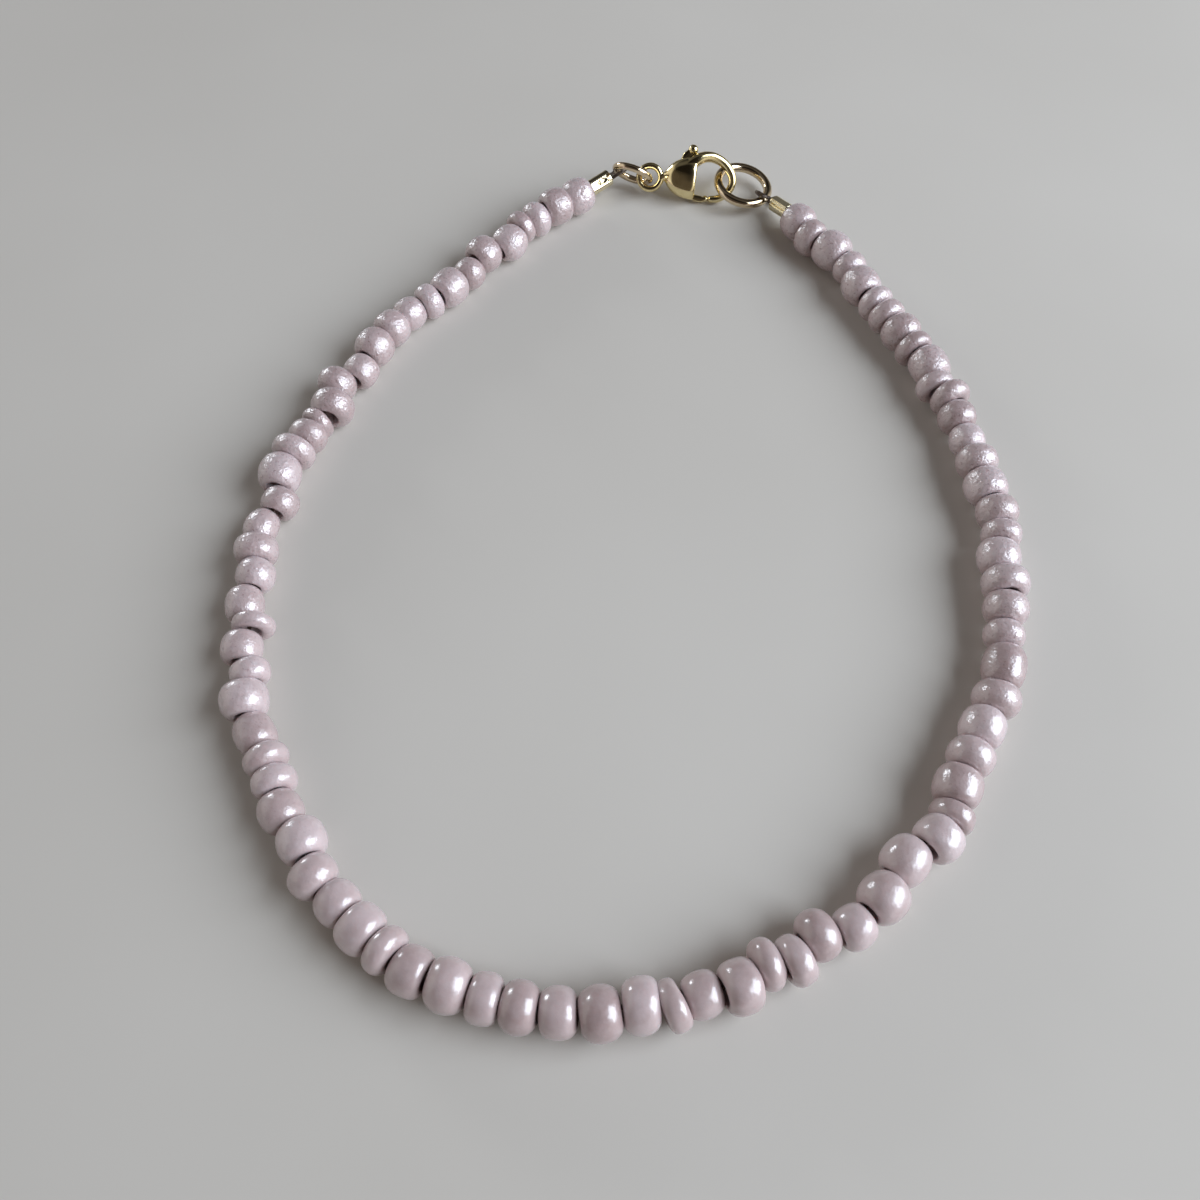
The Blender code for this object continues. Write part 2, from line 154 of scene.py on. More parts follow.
def grid_faces(rows, columns, closed_rows):
    """Four-sided faces over rows of points that close on themselves, last row to first if asked."""
    faces = []
    for i in range(rows if closed_rows else rows - 1):
        for j in range(columns):
            a, b = i * columns + j, i * columns + (j + 1) % columns
            c, d = (i + 1) % rows * columns + (j + 1) % columns, (i + 1) % rows * columns + j
            faces.append((a, b, c, d))
    return faces


def power(wave, exponent):
    """Fills out a sine or cosine: 2 leaves it round, and more makes the shape squarer."""
    return math.copysign(abs(wave) ** (2 / exponent), wave)


def bead_form(name, touch, shoulder, crown):
    """A bead of unit length and width round the X axis, widest at its ends where it touches the next."""
    rows = []
    for i in range(BEAD_OUTSIDE):
        angle = math.pi * i / BEAD_OUTSIDE
        rows.append((power(math.cos(angle), shoulder) / 2,
                     touch + (0.5 - touch) * power(math.sin(angle), crown)))
    for i in range(BEAD_INSIDE):
        angle = math.pi * (1 + i / BEAD_INSIDE)
        rows.append((power(math.cos(angle), BEAD_HOLE_FULL) / 2,
                     touch + (touch - BEAD_HOLE) * math.sin(angle)))
    points = []
    for x, radius in rows:
        for j in range(BEAD_AROUND):
            turn = 2 * math.pi * j / BEAD_AROUND
            points.append((x, radius * math.cos(turn), radius * math.sin(turn)))
    return outward(mesh_of(name, points, grid_faces(len(rows), BEAD_AROUND, True)))


def add_node(tree, kind, inputs=None, **settings):
    """Adds a node with its settings, and the value or link of each input."""
    node = tree.nodes.new(kind)
    for name, value in settings.items():
        setattr(node, name, value)
    for name, value in (inputs or {}).items():
        if isinstance(value, bpy.types.NodeSocket):
            tree.links.new(value, node.inputs[name])
        else:
            node.inputs[name].default_value = value
    return node


def new_tree(name, inputs):
    """A Geometry Nodes tree with a geometry input and these others: name, socket kind and default."""
    tree = bpy.data.node_groups.new(name, "GeometryNodeTree")
    tree.interface.new_socket("Geometry", in_out="OUTPUT", socket_type="NodeSocketGeometry")
    tree.interface.new_socket("Geometry", in_out="INPUT", socket_type="NodeSocketGeometry")
    for label, kind, default in inputs:
        socket = tree.interface.new_socket(label, in_out="INPUT", socket_type=kind)
        if default is not None:
            socket.default_value = default
    return tree, tree.nodes.new("NodeGroupInput"), tree.nodes.new("NodeGroupOutput")


def made_by(piece, tree, values):
    """Runs a tree on a piece with these input values and keeps the result as its plain mesh."""
    modifier = piece.modifiers.new(tree.name, "NODES")
    modifier.node_group = tree
    for item in tree.interface.items_tree:
        if item.item_type == "SOCKET" and item.in_out == "INPUT" and item.name in values:
            modifier[item.identifier] = values[item.name]
    bpy.context.view_layer.update()
    evaluated = piece.evaluated_get(bpy.context.evaluated_depsgraph_get())
    mesh = bpy.data.meshes.new_from_object(evaluated)
    mesh.name = piece.name
    result = piece_of(piece.name + "_made", mesh)
    name = piece.name
    bpy.data.objects.remove(piece, do_unlink=True)
    result.name = name
    return result


def principled(name):
    """A new material, its tree and its shader."""
    finish = bpy.data.materials.new(name)
    finish.use_nodes = True
    return finish, finish.node_tree, finish.node_tree.nodes["Principled BSDF"]


def noise(tree, coords, scale, detail=2.0, roughness=0.5):
    """A noise texture: scale in waves for each metre, detail in octaves."""
    return add_node(tree, "ShaderNodeTexNoise",
                    {"Vector": coords, "Scale": scale, "Detail": detail, "Roughness": roughness})


def ramp(tree, value, stops):
    """A colour ramp over a value, from a list of positions and colours."""
    node = add_node(tree, "ShaderNodeValToRGB", {"Fac": value})
    node.color_ramp.elements[0].position, node.color_ramp.elements[0].color = stops[0]
    node.color_ramp.elements[1].position, node.color_ramp.elements[1].color = stops[-1]
    for place, colour in stops[1:-1]:
        node.color_ramp.elements.new(place).color = colour
    return node.outputs["Color"]


def pearl_glass():
    """Opaque mauve glass under a thin pearly glaze: cloudy colour, fine pits with painted shade in them, soft
    broken highlights.
    """
    finish, tree, shader = principled("pearl_glass")
    coords = add_node(tree, "ShaderNodeTexCoord").outputs["Object"]
    tone = add_node(tree, "ShaderNodeAttribute", attribute_name="bead_tone").outputs["Fac"]
    pitted = add_node(tree, "ShaderNodeAttribute", attribute_name="bead_pitting").outputs["Fac"]
    cloud = noise(tree, coords, scale=900, detail=4.0, roughness=0.6).outputs["Fac"]
    mixed = add_node(tree, "ShaderNodeMath", {0: tone, 1: 0.55}, operation="MULTIPLY").outputs[0]
    cloudy = add_node(tree, "ShaderNodeMath", {0: cloud, 1: 0.6, 2: mixed},
                      operation="MULTIPLY_ADD").outputs[0]
    colour = ramp(tree, cloudy, [(0.15, (0.38, 0.275, 0.262, 1)), (0.5, (0.53, 0.413, 0.400, 1)),
                                 (0.85, (0.65, 0.535, 0.530, 1))])
    # Painted shade: dark specks darken the base colour of the pitted beads, standing in for the shade inside
    # pinholes.
    specks = noise(tree, coords, scale=5200, roughness=0.6).outputs["Fac"]
    painted_pit_shade = ramp(tree, specks, [(0.31, (0.68, 0.62, 0.63, 1)), (0.40, (1, 1, 1, 1))])
    colour_with_pit_shade = add_node(tree, "ShaderNodeMix", {"Factor": pitted, 6: colour, 7: painted_pit_shade},
                      data_type="RGBA", blend_type="MULTIPLY")
    tree.links.new(colour_with_pit_shade.outputs[2], shader.inputs["Base Color"])
    shader.inputs["Roughness"].default_value = 0.2
    shader.inputs["IOR"].default_value = 1.5
    glazed = add_node(tree, "ShaderNodeMapRange", {"Value": pitted, "To Min": 0.62, "To Max": 1.0}).outputs[0]
    tree.links.new(glazed, shader.inputs["Coat Weight"])
    shader.inputs["Coat Roughness"].default_value = 0.26
    shader.inputs["Coat IOR"].default_value = 2.05
    shader.inputs["Coat Tint"].default_value = (0.985, 0.975, 1.0, 1)
    shader.inputs["Subsurface Weight"].default_value = 0.25
    shader.inputs["Subsurface Radius"].default_value = (1.0, 0.62, 0.58)
    shader.inputs["Subsurface Scale"].default_value = 0.5 * mm
    shader.inputs["Sheen Weight"].default_value = 0.15
    shader.inputs["Sheen Roughness"].default_value = 0.4
    shader.inputs["Sheen Tint"].default_value = (0.9, 0.86, 0.92, 1)
    pits = noise(tree, coords, scale=3000, roughness=0.55).outputs["Fac"]
    grain = noise(tree, coords, scale=8000, roughness=0.6).outputs["Fac"]
    rough = add_node(tree, "ShaderNodeMath", {0: grain, 1: 0.32, 2: pits},
                     operation="MULTIPLY_ADD").outputs[0]
    depth = add_node(tree, "ShaderNodeMapRange", {"Value": pitted, "To Min": 0.18, "To Max": 1.0}).outputs[0]
    skin = add_node(tree, "ShaderNodeBump", {"Height": rough, "Strength": depth, "Distance": 0.085 * mm})
    tree.links.new(skin.outputs["Normal"], shader.inputs["Normal"])
    tree.links.new(skin.outputs["Normal"], shader.inputs["Coat Normal"])
    return finish


line = smooth([Vector((x, y, 0)) * mm for x, y in STRAND_ROUTE], ROUTE_STEPS)
chart = BEADS.split()
lengths = [BEAD_LENGTHS[mark[0]] * mm for mark in chart]
widths = [(BEAD_WIDTH_FROM + BEAD_WIDTH_STEP * int(mark[1])) * mm for mark in chart]
line_length = along_line(line, [])[1]
stretch = line_length / sum(lengths)
middles = [stretch * (sum(lengths[:i]) + lengths[i] / 2) for i in range(len(chart))]
centres = []
for mark, width, (point, heading) in zip(chart, widths, along_line(line, middles)[0]):
    inward = Vector((-heading.y, heading.x, 0))
    centres.append(point + inward * BEAD_OFFSETS[mark[2]] * mm + Vector((0, 0, width / 2 + BEAD_LUMP / 4)))

strung = bpy.data.meshes.new("beads")
strung.from_pydata([tuple(centre) for centre in centres], [], [])
headings, sizes, forms, pitting = [], [], [], []
for i, (mark, length, width) in enumerate(zip(chart, lengths, widths)):
    chord = centres[min(i + 1, len(centres) - 1)] - centres[max(i - 1, 0)]
    askew = Matrix.Rotation(ASKEW_BEADS.get(i + 1, 0.0), 3, "Z")
    headings.append(askew @ Vector((chord.x, chord.y, 0)).normalized())
    sizes.append((length * stretch, width, width))
    forms.append(THIN_FORM if mark[0] in "ab" else (i * 7 + i // 3) % THIN_FORM)
    pitting.append(float(np.interp(centres[i].y / mm, PITTING_SPAN, (0.0, 1.0))))
strung.attributes.new("heading", "FLOAT_VECTOR", "POINT").data.foreach_set(
    "vector", [c for heading in headings for c in heading])
strung.attributes.new("size", "FLOAT_VECTOR", "POINT").data.foreach_set(
    "vector", [c for size in sizes for c in size])
strung.attributes.new("form", "INT", "POINT").data.foreach_set("value", forms)
strung.attributes.new("bead_pitting", "FLOAT", "POINT").data.foreach_set("value", pitting)

bead_forms = bpy.data.collections.new("bead_forms")
for i, (touch, shoulder, crown) in enumerate(BEAD_FORMS):
    shape = bead_form(f"bead_form_{i}", touch, shoulder, crown)
    bead_forms.objects.link(bpy.data.objects.new(shape.name, shape))

tree, given, out = new_tree("strung_beads", [
    ("Bead Forms", "NodeSocketCollection", None), ("Tilt", "NodeSocketFloat", BEAD_TILT),
    ("Lump Depth", "NodeSocketFloat", BEAD_LUMP), ("Lump Scale", "NodeSocketFloat", BEAD_LUMP_SCALE),
    ("Seed", "NodeSocketInt", BEAD_SEED), ("Glass", "NodeSocketMaterial", None)])
heading = add_node(tree, "GeometryNodeInputNamedAttribute", {"Name": "heading"}, data_type="FLOAT_VECTOR")
size = add_node(tree, "GeometryNodeInputNamedAttribute", {"Name": "size"}, data_type="FLOAT_VECTOR")
form = add_node(tree, "GeometryNodeInputNamedAttribute", {"Name": "form"}, data_type="INT")
forms_in = add_node(tree, "GeometryNodeCollectionInfo",
                    {"Collection": given.outputs["Bead Forms"], "Separate Children": True,
                     "Reset Children": True})
aim = add_node(tree, "FunctionNodeAlignRotationToVector", {"Vector": heading.outputs[0]}, axis="X")
low = add_node(tree, "ShaderNodeMath", {0: given.outputs["Tilt"], 1: -1.0}, operation="MULTIPLY")
least = add_node(tree, "ShaderNodeCombineXYZ", {"X": -math.pi, "Y": low.outputs[0], "Z": low.outputs[0]})
most = add_node(tree, "ShaderNodeCombineXYZ",
                {"X": math.pi, "Y": given.outputs["Tilt"], "Z": given.outputs["Tilt"]})
lean = add_node(tree, "FunctionNodeRandomValue",
                {"Min": least.outputs[0], "Max": most.outputs[0], "Seed": given.outputs["Seed"]},
                data_type="FLOAT_VECTOR")
turned = add_node(tree, "FunctionNodeRotateRotation",
                  {"Rotation": aim.outputs[0], "Rotate By": lean.outputs[0]}, rotation_space="LOCAL")
threaded = add_node(tree, "GeometryNodeInstanceOnPoints",
                    {"Points": given.outputs["Geometry"], "Instance": forms_in.outputs[0],
                     "Pick Instance": True, "Instance Index": form.outputs[0],
                     "Rotation": turned.outputs[0], "Scale": size.outputs[0]})
tones = add_node(tree, "FunctionNodeRandomValue", {"Seed": given.outputs["Seed"]}, data_type="FLOAT")
toned = add_node(tree, "GeometryNodeStoreNamedAttribute",
                 {"Geometry": threaded.outputs[0], "Name": "bead_tone", "Value": tones.outputs[1]},
                 data_type="FLOAT", domain="INSTANCE")
loose = add_node(tree, "GeometryNodeRealizeInstances", {"Geometry": toned.outputs[0]})
lumps = add_node(tree, "ShaderNodeTexNoise", {"Scale": given.outputs["Lump Scale"], "Detail": 1.5})
position = add_node(tree, "GeometryNodeInputPosition")
tree.links.new(position.outputs[0], lumps.inputs["Vector"])
rise = add_node(tree, "ShaderNodeMath", {0: lumps.outputs["Fac"], 1: 0.5}, operation="SUBTRACT")
depth = add_node(tree, "ShaderNodeMath", {0: rise.outputs[0], 1: given.outputs["Lump Depth"]},
                 operation="MULTIPLY")
normal = add_node(tree, "GeometryNodeInputNormal")
push = add_node(tree, "ShaderNodeVectorMath", {0: normal.outputs[0], "Scale": depth.outputs[0]},
                operation="SCALE")
lumpy = add_node(tree, "GeometryNodeSetPosition", {"Geometry": loose.outputs[0], "Offset": push.outputs[0]})
rounded = add_node(tree, "GeometryNodeSetShadeSmooth", {"Geometry": lumpy.outputs[0]})
glazed = add_node(tree, "GeometryNodeSetMaterial",
                  {"Geometry": rounded.outputs[0], "Material": given.outputs["Glass"]})
tree.links.new(glazed.outputs[0], out.inputs["Geometry"])

beads = made_by(piece_of("seed_beads", strung), tree,
                {"Bead Forms": bead_forms, "Tilt": BEAD_TILT, "Lump Depth": BEAD_LUMP,
                 "Lump Scale": BEAD_LUMP_SCALE, "Seed": BEAD_SEED, "Glass": pearl_glass()})
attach(beads, "bracelet")
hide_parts("bead_strand")

# Beading wire: seven fine steel strands twisted together under a thin brownish nylon skin.
# It runs through every bead, and outside each crimp it comes back on itself as a small loop.
WIRE_D = 0.30 * mm
WIRE_STRANDS = 6  # round the middle one
WIRE_LAY = 1.6 * mm  # length of one full twist
WIRE_SIDES = 8
HIDDEN_WIRE_STEP = 0.4 * mm  # inside the beads, where nobody looks closely
LOOP_WIRE_STEP = 0.04 * mm
WIRE_TAIL = 0.6 * mm
LEG_GAP = 0.06 * mm
LEG_STRAIGHT = 0.15 * mm
LINK_GAP = 0.08 * mm
LOOP_ARC = math.radians(116)
LOOP_KNOTS = 9
JUMP_LOOP_SEAT = (math.radians(20), math.radians(-32))
RING_LOOP_SEAT = (math.radians(8), math.radians(-40))
WIRE_COLOUR = (0.075, 0.05, 0.038, 1)
WIRE_WORN = (0.17, 0.13, 0.105, 1)


def strand_steel():
    """Steel strands seen through brownish nylon: dark, with a clear skin over them."""
    finish, tree, shader = principled("nylon_coated_steel")
    coords = add_node(tree, "ShaderNodeTexCoord").outputs["Object"]
    worn = noise(tree, coords, scale=3000, detail=3.0).outputs["Fac"]
    colour = ramp(tree, worn, [(0.3, WIRE_COLOUR), (0.7, WIRE_WORN)])
    tree.links.new(colour, shader.inputs["Base Color"])
    shader.inputs["Metallic"].default_value = 0.85
    shader.inputs["Roughness"].default_value = 0.3
    shader.inputs["Coat Weight"].default_value = 0.6
    shader.inputs["Coat Roughness"].default_value = 0.12
    bump = add_node(tree, "ShaderNodeBump", {"Height": worn, "Strength": 0.15, "Distance": 0.01 * mm})
    tree.links.new(bump.outputs["Normal"], shader.inputs["Normal"])
    return finish


wire_finish = strand_steel()
tree, given, out = new_tree("twisted_wire", [
    ("Diameter", "NodeSocketFloat", WIRE_D), ("Strands", "NodeSocketInt", WIRE_STRANDS),
    ("Lay", "NodeSocketFloat", WIRE_LAY), ("Step", "NodeSocketFloat", LOOP_WIRE_STEP),
    ("Sides", "NodeSocketInt", WIRE_SIDES), ("Steel", "NodeSocketMaterial", None)])
even = add_node(tree, "GeometryNodeResampleCurve",
                {"Curve": given.outputs["Geometry"], "Length": given.outputs["Step"]}, mode="LENGTH")
third = add_node(tree, "ShaderNodeMath", {0: given.outputs["Diameter"], 1: 3.0}, operation="DIVIDE")
copies = add_node(tree, "GeometryNodeDuplicateElements",
                  {"Geometry": even.outputs[0], "Amount": given.outputs["Strands"]}, domain="SPLINE")
kept = add_node(tree, "GeometryNodeCaptureAttribute", {"Geometry": copies.outputs[0]}, domain="POINT")
kept.capture_items.new("INT", "strand")
tree.links.new(copies.outputs["Duplicate Index"], kept.inputs["strand"])
way = add_node(tree, "GeometryNodeSplineParameter")
share = add_node(tree, "ShaderNodeMath", {0: kept.outputs["strand"], 1: given.outputs["Strands"]},
                 operation="DIVIDE")
twists = add_node(tree, "ShaderNodeMath", {0: way.outputs["Length"], 1: given.outputs["Lay"]},
                  operation="DIVIDE")
turns = add_node(tree, "ShaderNodeMath", {0: share.outputs[0], 1: twists.outputs[0]}, operation="ADD")
angle = add_node(tree, "ShaderNodeMath", {0: turns.outputs[0], 1: 2 * math.pi}, operation="MULTIPLY")
tangent = add_node(tree, "GeometryNodeInputTangent")
beside = add_node(tree, "GeometryNodeInputNormal")
swung = add_node(tree, "ShaderNodeVectorRotate",
                 {"Vector": beside.outputs[0], "Axis": tangent.outputs[0], "Angle": angle.outputs[0]},
                 rotation_type="AXIS_ANGLE")
moved = add_node(tree, "ShaderNodeVectorMath", {0: swung.outputs[0], "Scale": third.outputs[0]},
                 operation="SCALE")
wound = add_node(tree, "GeometryNodeSetPosition", {"Geometry": kept.outputs[0], "Offset": moved.outputs[0]})
both = add_node(tree, "GeometryNodeJoinGeometry")
tree.links.new(wound.outputs[0], both.inputs[0])
tree.links.new(even.outputs[0], both.inputs[0])
half_third = add_node(tree, "ShaderNodeMath", {0: third.outputs[0], 1: 0.5}, operation="MULTIPLY")
profile = add_node(tree, "GeometryNodeCurvePrimitiveCircle",
                   {"Resolution": given.outputs["Sides"], "Radius": half_third.outputs[0]}, mode="RADIUS")
drawn = add_node(tree, "GeometryNodeCurveToMesh",
                 {"Curve": both.outputs[0], "Profile Curve": profile.outputs[0], "Fill Caps": True})
solid = add_node(tree, "GeometryNodeRealizeInstances", {"Geometry": drawn.outputs[0]})
rounded = add_node(tree, "GeometryNodeSetShadeSmooth", {"Geometry": solid.outputs[0]})
coated = add_node(tree, "GeometryNodeSetMaterial",
                  {"Geometry": rounded.outputs[0], "Material": given.outputs["Steel"]})
tree.links.new(coated.outputs[0], out.inputs["Geometry"])
wire_tree = tree


def twisted_wire(name, points, step):
    """Beading wire along these points."""
    curve = bpy.data.curves.new(name, "CURVE")
    curve.dimensions = "3D"
    spline = curve.splines.new("POLY")
    spline.points.add(len(points) - 1)
    for knot, point in zip(spline.points, points):
        knot.co = (*point, 1.0)
    wire = made_by(piece_of(name, curve), wire_tree,
                   {"Diameter": WIRE_D, "Strands": WIRE_STRANDS, "Lay": WIRE_LAY, "Step": step,
                    "Sides": WIRE_SIDES, "Steel": wire_finish})
    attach(wire, "bracelet")
    return wire


hole_line = [Vector((p.x, p.y, MEAN_BEAD_D / 2)) for p in line]
twisted_wire("bead_wire", hole_line[::3] + [hole_line[-1]], HIDDEN_WIRE_STEP)

# The clasp's own frame: its narrow end at the origin, +X towards the hook, +Y towards the trigger.
# It lies on its edge side, leaning back on the table, as a trigger clasp does when it is put down.
CLASP_AT = Vector((3.2, 32.15, 1.82)) * mm
CLASP_TILT = math.radians(52)
BODY_LENGTH = 2.7 * mm
BODY_HEIGHT = 3.35 * mm
BODY_THICK = 2.3 * mm
clasp_place = Matrix.Translation(CLASP_AT) @ Matrix.Rotation(CLASP_TILT, 4, "X")

# Jump ring and end ring: closed rings of round gold-filled wire, soldered and polished.
# The small one hangs in the clasp's eye, and the large one is what the hook catches.
JUMP_RING_WIRE = 0.56 * mm
JUMP_RING_RADIUS = 1.47 * mm
END_RING_WIRE = 0.72 * mm
END_RING_RADIUS = 2.12 * mm
RING_AROUND = 120
RING_WIRE_AROUND = 32


def gold_filled(name, colour, dull, roughness, scratch):
    """Polished gold-filled metal: clear reflections, faint hairlines and a browner film in places."""
    finish, tree, shader = principled(name)
    coords = add_node(tree, "ShaderNodeTexCoord").outputs["Object"]
    film = noise(tree, coords, scale=700, detail=4.0, roughness=0.6).outputs["Fac"]
    tree.links.new(ramp(tree, film, [(0.38, colour), (0.72, dull)]), shader.inputs["Base Color"])
    shader.inputs["Metallic"].default_value = 1.0
    spread = add_node(tree, "ShaderNodeMapRange",
                      {"Value": film, "From Min": 0.3, "From Max": 0.75, "To Min": roughness * 0.8,
                       "To Max": roughness * 1.6})
    tree.links.new(spread.outputs[0], shader.inputs["Roughness"])
    pulled = add_node(tree, "ShaderNodeMapping", {"Vector": coords, "Scale": (1.0, 5.0, 5.0)})
    hairs = noise(tree, pulled.outputs[0], scale=2200, detail=3.0, roughness=0.7).outputs["Fac"]
    waves = noise(tree, coords, scale=900, detail=1.0).outputs["Fac"]
    height = add_node(tree, "ShaderNodeMath", {0: hairs, 1: 0.15, 2: waves},
                      operation="MULTIPLY_ADD").outputs[0]
    bump = add_node(tree, "ShaderNodeBump", {"Height": height, "Strength": scratch, "Distance": 0.03 * mm})
    tree.links.new(bump.outputs["Normal"], shader.inputs["Normal"])
    return finish


def ring_piece(name, node, radius, wire, finish):
    """A closed ring of round wire, lying where its solid lies. Gives back its middle and its axis."""
    corners = np.array([v.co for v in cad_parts[node].data.vertices])
    centre = corners.mean(0)
    side, other, axis = np.linalg.svd(corners - centre, full_matrices=False)[2]
    points = []
    for i in range(RING_AROUND):
        turn = 2 * math.pi * i / RING_AROUND
        out = side * math.cos(turn) + other * math.sin(turn)
        for j in range(RING_WIRE_AROUND):
            angle = 2 * math.pi * j / RING_WIRE_AROUND
            points.append(centre + out * (radius + wire / 2 * math.cos(angle))
                          + axis * (wire / 2 * math.sin(angle)))
    piece = piece_of(name, outward(mesh_of(name, points, grid_faces(RING_AROUND, RING_WIRE_AROUND, True))))
    piece.data.materials.append(finish)
    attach(piece, "bracelet")
    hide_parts(node)
    return Vector(centre), Vector(axis)


ring_gold = gold_filled("ring_gold", (0.80, 0.67, 0.47, 1), (0.54, 0.42, 0.28, 1), 0.07, 0.08)
jump_centre = ring_piece("small_jump_ring", "jump_ring", JUMP_RING_RADIUS, JUMP_RING_WIRE, ring_gold)[0]
ring_centre, ring_axis = ring_piece("large_end_ring", "end_ring", END_RING_RADIUS, END_RING_WIRE, ring_gold)

# Crimp tubes: thin gold-filled tube pressed flat on the doubled wire.
# The one at the clasp has an oval dent from the pliers, and the other is folded to a long groove.
CRIMP_LENGTH = 2.1 * mm
CRIMP_GAP = 0.2 * mm
CRIMP_BORE = (0.40 * mm, 0.22 * mm)
# Width, thickness and squareness (2 is round)
CLASP_CRIMP = (1.30 * mm, 1.02 * mm, 2.6)
RING_CRIMP = (1.16 * mm, 1.06 * mm, 3.0)
CRIMP_EDGE = 0.05 * mm  # length over which the cut ends are rounded
CRIMP_EDGE_TRIM = 0.06  # share of the width that the rounding takes off
RING_CRIMP_DROP = math.radians(13)
CRIMP_ROWS = 90
CRIMP_AROUND = 144
crimp_gold = gold_filled("crimp_gold", (0.95, 0.88, 0.64, 1), (0.80, 0.70, 0.46, 1), 0.10, 0.1)


def pressed_tube(name, node, start, along, face, width, thick, squareness, dent):
    """A pressed tube from its bead end. dent gives its depth at a share of the length and of the width."""
    across = face.cross(along).normalized()
    face = along.cross(across)
    rows = [(i / CRIMP_ROWS, 1.0) for i in range(CRIMP_ROWS + 1)] + [(1.0, 0.0), (0.0, 0.0)]
    points = []
    for share, outer in rows:
        edge = min(share, 1 - share) * CRIMP_LENGTH / CRIMP_EDGE
        trim = 1 - CRIMP_EDGE_TRIM * max(0.0, 1 - edge) ** 2
        for j in range(CRIMP_AROUND):
            angle = 2 * math.pi * j / CRIMP_AROUND
            x = power(math.cos(angle), squareness)
            y = power(math.sin(angle), squareness)
            half = (width / 2 * trim, thick / 2 * trim) if outer else CRIMP_BORE
            lift = half[1] * y
            if outer and y > 0:
                lift -= dent(share, x)
            points.append(start + along * (share * CRIMP_LENGTH) + across * (half[0] * x) + face * lift)
    piece = piece_of(name, outward(mesh_of(name, points, grid_faces(len(rows), CRIMP_AROUND, True))))
    piece.data.set_sharp_from_angle(angle=math.radians(40))
    piece.data.materials.append(crimp_gold)
    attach(piece, "bracelet")
    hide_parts(node)


def plier_dent(share, x):
    """A long oval dent in the middle of the pressed face."""
    oval = max(0.0, 1 - ((share - 0.54) / 0.26) ** 2 - (x / 0.40) ** 2)
    return 0.17 * mm * math.sin(math.pi / 2 * oval) ** 1.3


def fold_groove(share, x):
    """A groove along the whole tube where its wall is folded in, beside a narrow ridge."""
    return 0.17 * mm * math.exp(-((x + 0.30) / 0.13) ** 2) + 0.05 * mm * math.exp(-((x + 0.72) / 0.10) ** 2)


count = round(line_length / (2 * MEAN_BEAD_D))
stations = along_line(line, [line_length * k / count for k in range(count + 1)])[0]
first, second = stations[0][0], stations[1][0]
last, before_last = stations[-1][0], stations[-2][0]
lift = Vector((0, 0, MEAN_BEAD_D / 2))
clasp_end = (first - second).normalized()
clasp_face = clasp_place.to_3x3() @ Vector((0, 0, 1))
pressed_tube("crimp_at_clasp", "crimp_clasp_end", first + lift + clasp_end * CRIMP_GAP, clasp_end, clasp_face,
             *CLASP_CRIMP, plier_dent)
clasp_mouth = first + lift + clasp_end * (CRIMP_GAP + CRIMP_LENGTH)
ring_end = (last - before_last).normalized()
dip = ring_end * math.cos(RING_CRIMP_DROP) - Vector((0, 0, math.sin(RING_CRIMP_DROP)))
ring_face = dip.cross(ring_axis)
if ring_face.z < 0:
    ring_face = -ring_face
pressed_tube("crimp_at_ring", "crimp_ring_end", last + lift + ring_end * CRIMP_GAP, dip, ring_face,
             *RING_CRIMP, fold_groove)
ring_mouth = last + lift + ring_end * CRIMP_GAP + dip * CRIMP_LENGTH


def flatten(vector, axis):
    """The heading of what is left of a vector when its part along the axis is taken away."""
    return (vector - axis * vector.dot(axis)).normalized()


def wire_loop(name, node, mouth, along, across, centre, axis, radius, wire, seat):
    """The wire's loop out of a crimp, round a ring and back in beside itself."""
    turn, slant = seat
    out = Matrix.Rotation(turn, 3, axis) @ flatten(mouth - centre, axis)
    held = centre + out * radius
    passing = axis.cross(out).normalized()
    ahead = (held - mouth).normalized()
    normal = Matrix.Rotation(slant, 3, ahead) @ flatten(passing, ahead)
    side = normal.cross(ahead)
    if side.dot(across) < 0:
        side = -side
    bend = (wire / 2 + LINK_GAP + WIRE_D / 2) / abs(normal.dot(passing))
    leg = across * (WIRE_D + LEG_GAP) / 2
    legs = [[mouth + along * way + offset for way in (-WIRE_TAIL, -WIRE_TAIL / 6, LEG_STRAIGHT)]
            for offset in (leg, -leg)]
    knots = legs[0]
    for k in range(LOOP_KNOTS):
        angle = LOOP_ARC * (1 - 2 * k / (LOOP_KNOTS - 1))
        knots.append(held + (ahead * math.cos(angle) + side * math.sin(angle)) * bend)
    knots += legs[1][::-1]
    piece = twisted_wire(name, smooth(knots, per_span=8), LOOP_WIRE_STEP)
    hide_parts(node)


JUMP_RING_SLANT = math.radians(19)
JUMP_RING_TURN = math.radians(75)
END_RING_SLANT = math.radians(13)
END_RING_LEAN = math.radians(50)
jump_way = Vector((-math.cos(JUMP_RING_SLANT), math.sin(JUMP_RING_SLANT), 0))
end_way = Vector((math.cos(END_RING_SLANT), -math.sin(END_RING_SLANT), 0))
to_world = clasp_place.to_3x3()
jump_normal = to_world @ (Matrix.Rotation(-JUMP_RING_TURN, 3, jump_way) @ Vector((0, 0, 1)))
end_normal = to_world @ (Matrix.Rotation(-END_RING_LEAN, 3, end_way) @ Vector((0, 0, 1)))
clasp_across = clasp_face.cross(clasp_end).normalized()
wire_loop("wire_loop_at_clasp", "wire_loop_clasp_end", clasp_mouth, clasp_end, clasp_across, jump_centre,
          jump_normal, JUMP_RING_RADIUS, JUMP_RING_WIRE, JUMP_LOOP_SEAT)
ring_across = dip.cross(end_normal).cross(dip).normalized()
wire_loop("wire_loop_at_ring", "wire_loop_ring_end", ring_mouth, dip, ring_across, ring_centre,
          end_normal, END_RING_RADIUS, END_RING_WIRE, RING_LOOP_SEAT)

# Clasp body: one gold-filled casting, a flattened teardrop with a hook that bows out of its wide end
# and an eye on its narrow end. The joins are soft from polishing, and a slot takes the lever.
BODY_SQUARENESS = 2.7
RIM_LEAN = 0.10
